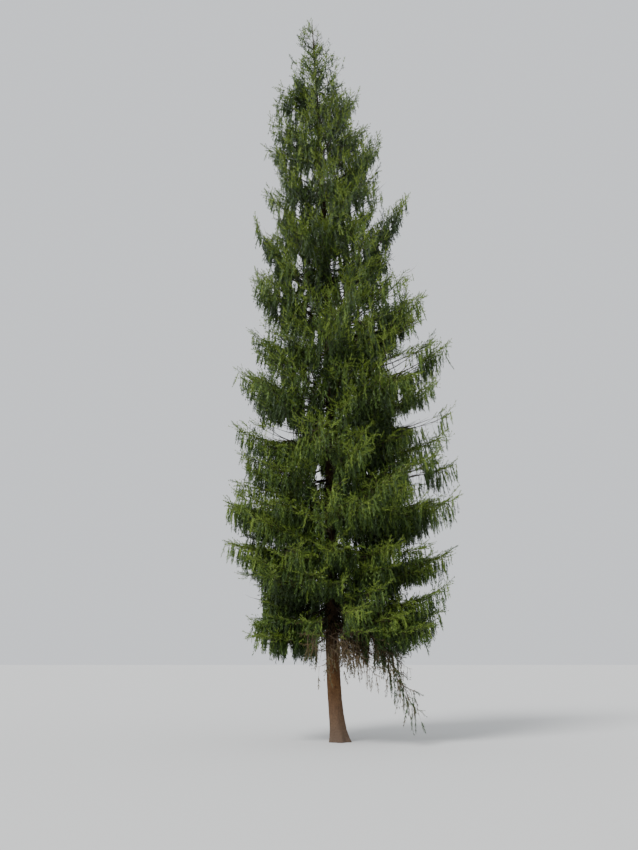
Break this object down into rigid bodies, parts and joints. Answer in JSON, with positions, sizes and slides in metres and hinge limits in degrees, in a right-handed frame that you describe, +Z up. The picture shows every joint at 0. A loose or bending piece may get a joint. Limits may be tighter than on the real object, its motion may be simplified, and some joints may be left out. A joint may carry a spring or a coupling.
{
  "type": "norway spruce tree",
  "caption": "Tall narrow Norway spruce tree: a tapering trunk with root flare, drooping boughs that lift at their tips, and hanging curtains of needle sprays. Fixed in the ground.",
  "frame": {"origin": "centre of the flat cut under the trunk, at ground level", "axes": "+Z up along the trunk, -Y towards the viewer, +X to the viewer's right"},
  "size_m": [4.9083, 4.9146, 17],
  "materials": {
    "bark": "rough scaly bark",
    "limb_bark": "rough thin bark",
    "needles": "waxy needles"
  },
  "bodies": {
    "root": {"bough_1_1": "limb_bark", "bough_1_2": "limb_bark", "bough_1_3": "limb_bark", "bough_1_4": "limb_bark", "bough_2_1": "limb_bark", "bough_2_2": "limb_bark", "bough_2_3": "limb_bark", "bough_2_4": "limb_bark", "bough_3_1": "limb_bark", "bough_3_2": "limb_bark", "bough_3_3": "limb_bark", "bough_3_4": "limb_bark", "bough_low": "limb_bark", "foliage_10_1": "needles", "foliage_10_2": "needles", "foliage_10_3": "needles", "foliage_11_1": "needles", "foliage_11_2": "needles", "foliage_11_3": "needles", "foliage_12_1": "needles", "foliage_12_2": "needles", "foliage_12_3": "needles", "foliage_13_1": "needles", "foliage_13_2": "needles", "foliage_13_3": "needles", "foliage_1_1": "needles", "foliage_1_2": "needles", "foliage_1_3": "needles", "foliage_1_4": "needles", "foliage_2_1": "needles", "foliage_2_2": "needles", "foliage_2_3": "needles", "foliage_2_4": "needles", "foliage_3_1": "needles", "foliage_3_2": "needles", "foliage_3_3": "needles", "foliage_3_4": "needles", "foliage_4_1": "needles", "foliage_4_2": "needles", "foliage_4_3": "needles", "foliage_4_4": "needles", "foliage_5_1": "needles", "foliage_5_2": "needles", "foliage_5_3": "needles", "foliage_5_4": "needles", "foliage_6_1": "needles", "foliage_6_2": "needles", "foliage_6_3": "needles", "foliage_6_4": "needles", "foliage_7_1": "needles", "foliage_7_2": "needles", "foliage_7_3": "needles", "foliage_8_1": "needles", "foliage_8_2": "needles", "foliage_8_3": "needles", "foliage_9_1": "needles", "foliage_9_2": "needles", "foliage_9_3": "needles", "foliage_low": "needles", "trunk": "bark"}
  },
  "joints": []
}
